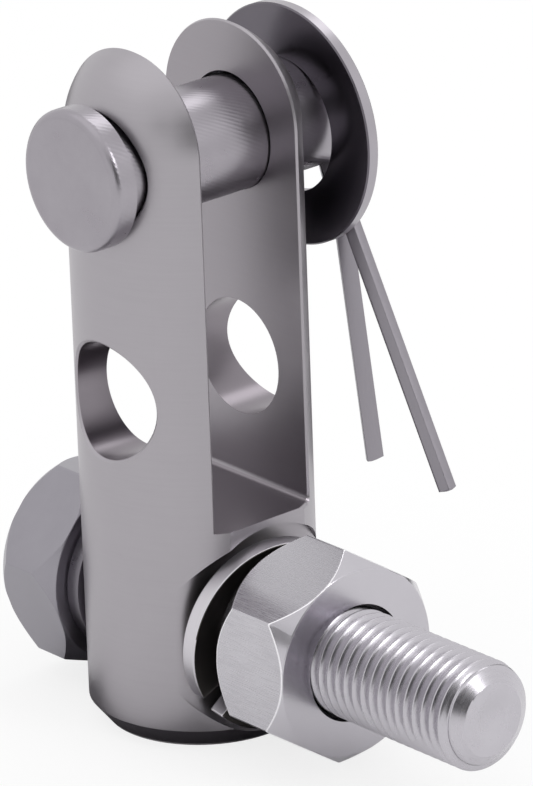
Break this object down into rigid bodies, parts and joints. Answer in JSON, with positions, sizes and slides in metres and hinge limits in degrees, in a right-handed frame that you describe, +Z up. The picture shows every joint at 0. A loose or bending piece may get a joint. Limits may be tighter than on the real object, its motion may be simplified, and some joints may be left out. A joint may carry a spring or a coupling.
{
  "type": "swivel clevis",
  "caption": "Stainless steel swivel clevis with a headed pin, washer and split pin, turning on a hex bolt with its nut and spring washer.",
  "frame": {"origin": "centre of the flat foot of the clevis bar", "axes": "+Z up along the bar from its foot to the two ears, +X along the bolt to its threaded end, +Y along the clevis pin from its head to its washer"},
  "size_m": [0.1074, 0.058, 0.1217],
  "materials": {
    "bar_steel": "milled and turned stainless steel, satin",
    "pin_steel": "turned stainless steel with fine tool marks",
    "washer_steel": "rolled and stamped stainless steel, smooth",
    "wire_steel": "drawn stainless wire, satin",
    "bolt_steel": "rolled bright stainless steel",
    "nut_steel": "ground bar stainless steel, brushed flats",
    "spring_steel": "wound stainless spring wire, satin"
  },
  "bodies": {
    "clevis": {"clevis_body": "bar_steel"},
    "bolt_group": {"hex_bolt": "bolt_steel", "bolt_washer": "washer_steel"},
    "spring_group": {"lock_washer": "spring_steel"},
    "nut_group": {"hex_nut": "nut_steel"},
    "washer_group": {"pin_washer": "washer_steel"},
    "pin_group": {"clevis_pin": "pin_steel", "split_pin": "wire_steel"}
  },
  "joints": [
    {"name": "swivel", "type": "hinge", "parent": "clevis", "child": "bolt_group", "pos_m": [0, 0, 0.02], "axis": [1, 0, 0], "continuous": true},
    {"name": "nut_travel", "type": "slide", "parent": "bolt_group", "child": "spring_group", "axis": [1, 0, 0], "range_m": [0, 0.0315]},
    {"name": "nut_spin", "type": "hinge", "parent": "spring_group", "child": "nut_group", "pos_m": [0, 0, 0.02], "axis": [1, 0, 0], "range_deg": [0, 5360]},
    {"name": "pin_slide", "type": "slide", "parent": "clevis", "child": "washer_group", "axis": [0, 1, 0], "range_m": [-0.0025, 0.0004]},
    {"name": "pin_spin", "type": "hinge", "parent": "washer_group", "child": "pin_group", "pos_m": [0, 0, 0.1021], "axis": [0, 1, 0], "continuous": true}
  ],
  "couplings": [
    {"joint": "nut_spin", "follows": "nut_travel", "rad_per_m": 2968.4}
  ]
}
